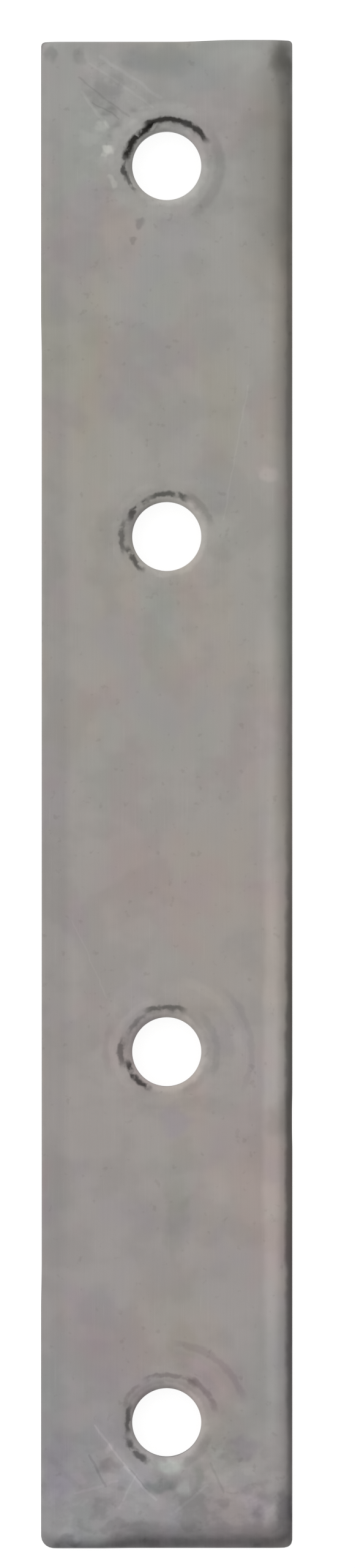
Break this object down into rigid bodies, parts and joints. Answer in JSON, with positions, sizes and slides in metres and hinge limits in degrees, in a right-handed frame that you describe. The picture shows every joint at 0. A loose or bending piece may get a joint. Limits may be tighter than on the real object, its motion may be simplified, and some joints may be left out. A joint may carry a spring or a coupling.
{
  "type": "mending plate",
  "caption": "Flat straight steel mending plate with rolled edges and plain round screw holes in line, screwed across a joint between boards.",
  "frame": {"origin": "centre of the flat back face, which lies on the surface that the plate rests on", "axes": "+X across the plate, +Y along its length, +Z out of the front face, from which it was sheared and pierced"},
  "size_m": [0.016, 0.096, 0.002],
  "materials": {
    "zinc_plated_steel": "dull zinc plate with faint stains and fine scratches"
  },
  "bodies": {
    "root": {"mending_plate": "zinc_plated_steel"}
  },
  "joints": []
}
